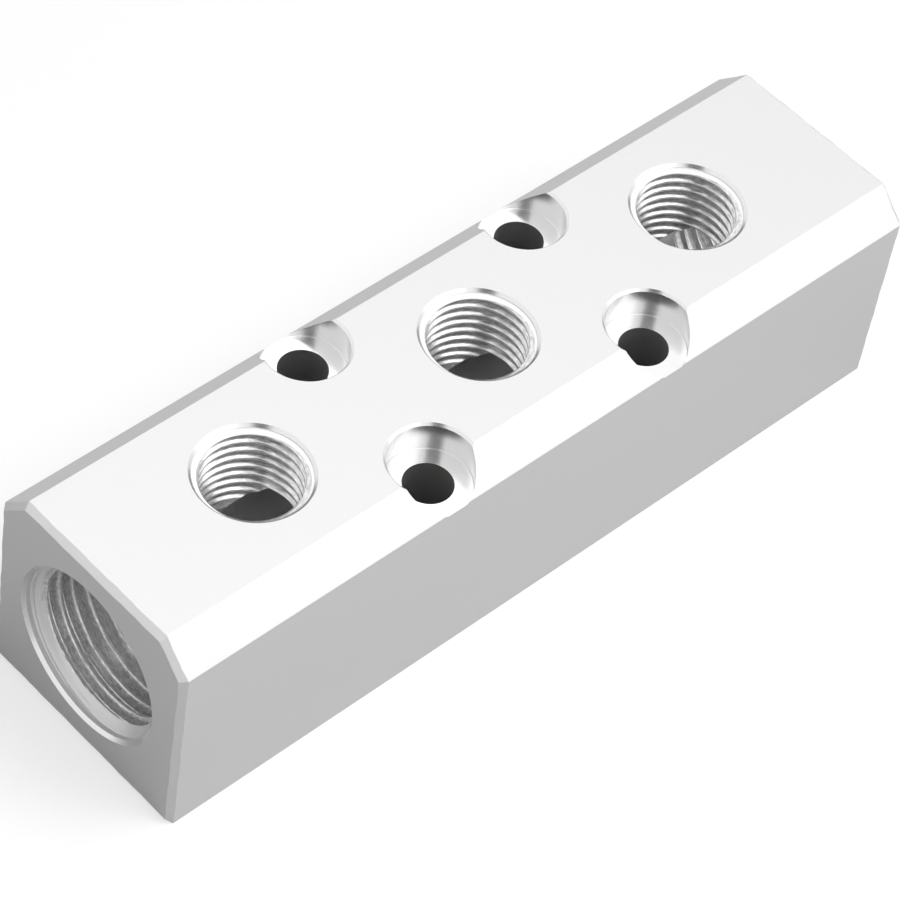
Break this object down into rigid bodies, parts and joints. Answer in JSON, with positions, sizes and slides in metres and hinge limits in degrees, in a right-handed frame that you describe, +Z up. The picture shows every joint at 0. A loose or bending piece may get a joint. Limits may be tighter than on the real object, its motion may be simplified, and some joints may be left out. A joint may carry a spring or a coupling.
{
  "type": "air manifold block",
  "caption": "Aluminium bar with a row of threaded outlet ports on top, a larger threaded inlet in each end and counterbored mounting holes beside the row.",
  "frame": {"origin": "middle of the underside", "axes": "+X along the bar and out of one inlet, +Y across the bar, +Z up out of the outlet ports"},
  "size_m": [0.11, 0.03, 0.029],
  "materials": {
    "aluminium": "fine matt silver faces, bright turned bevels and bores"
  },
  "bodies": {
    "root": {"manifold_block": "aluminium"}
  },
  "joints": []
}
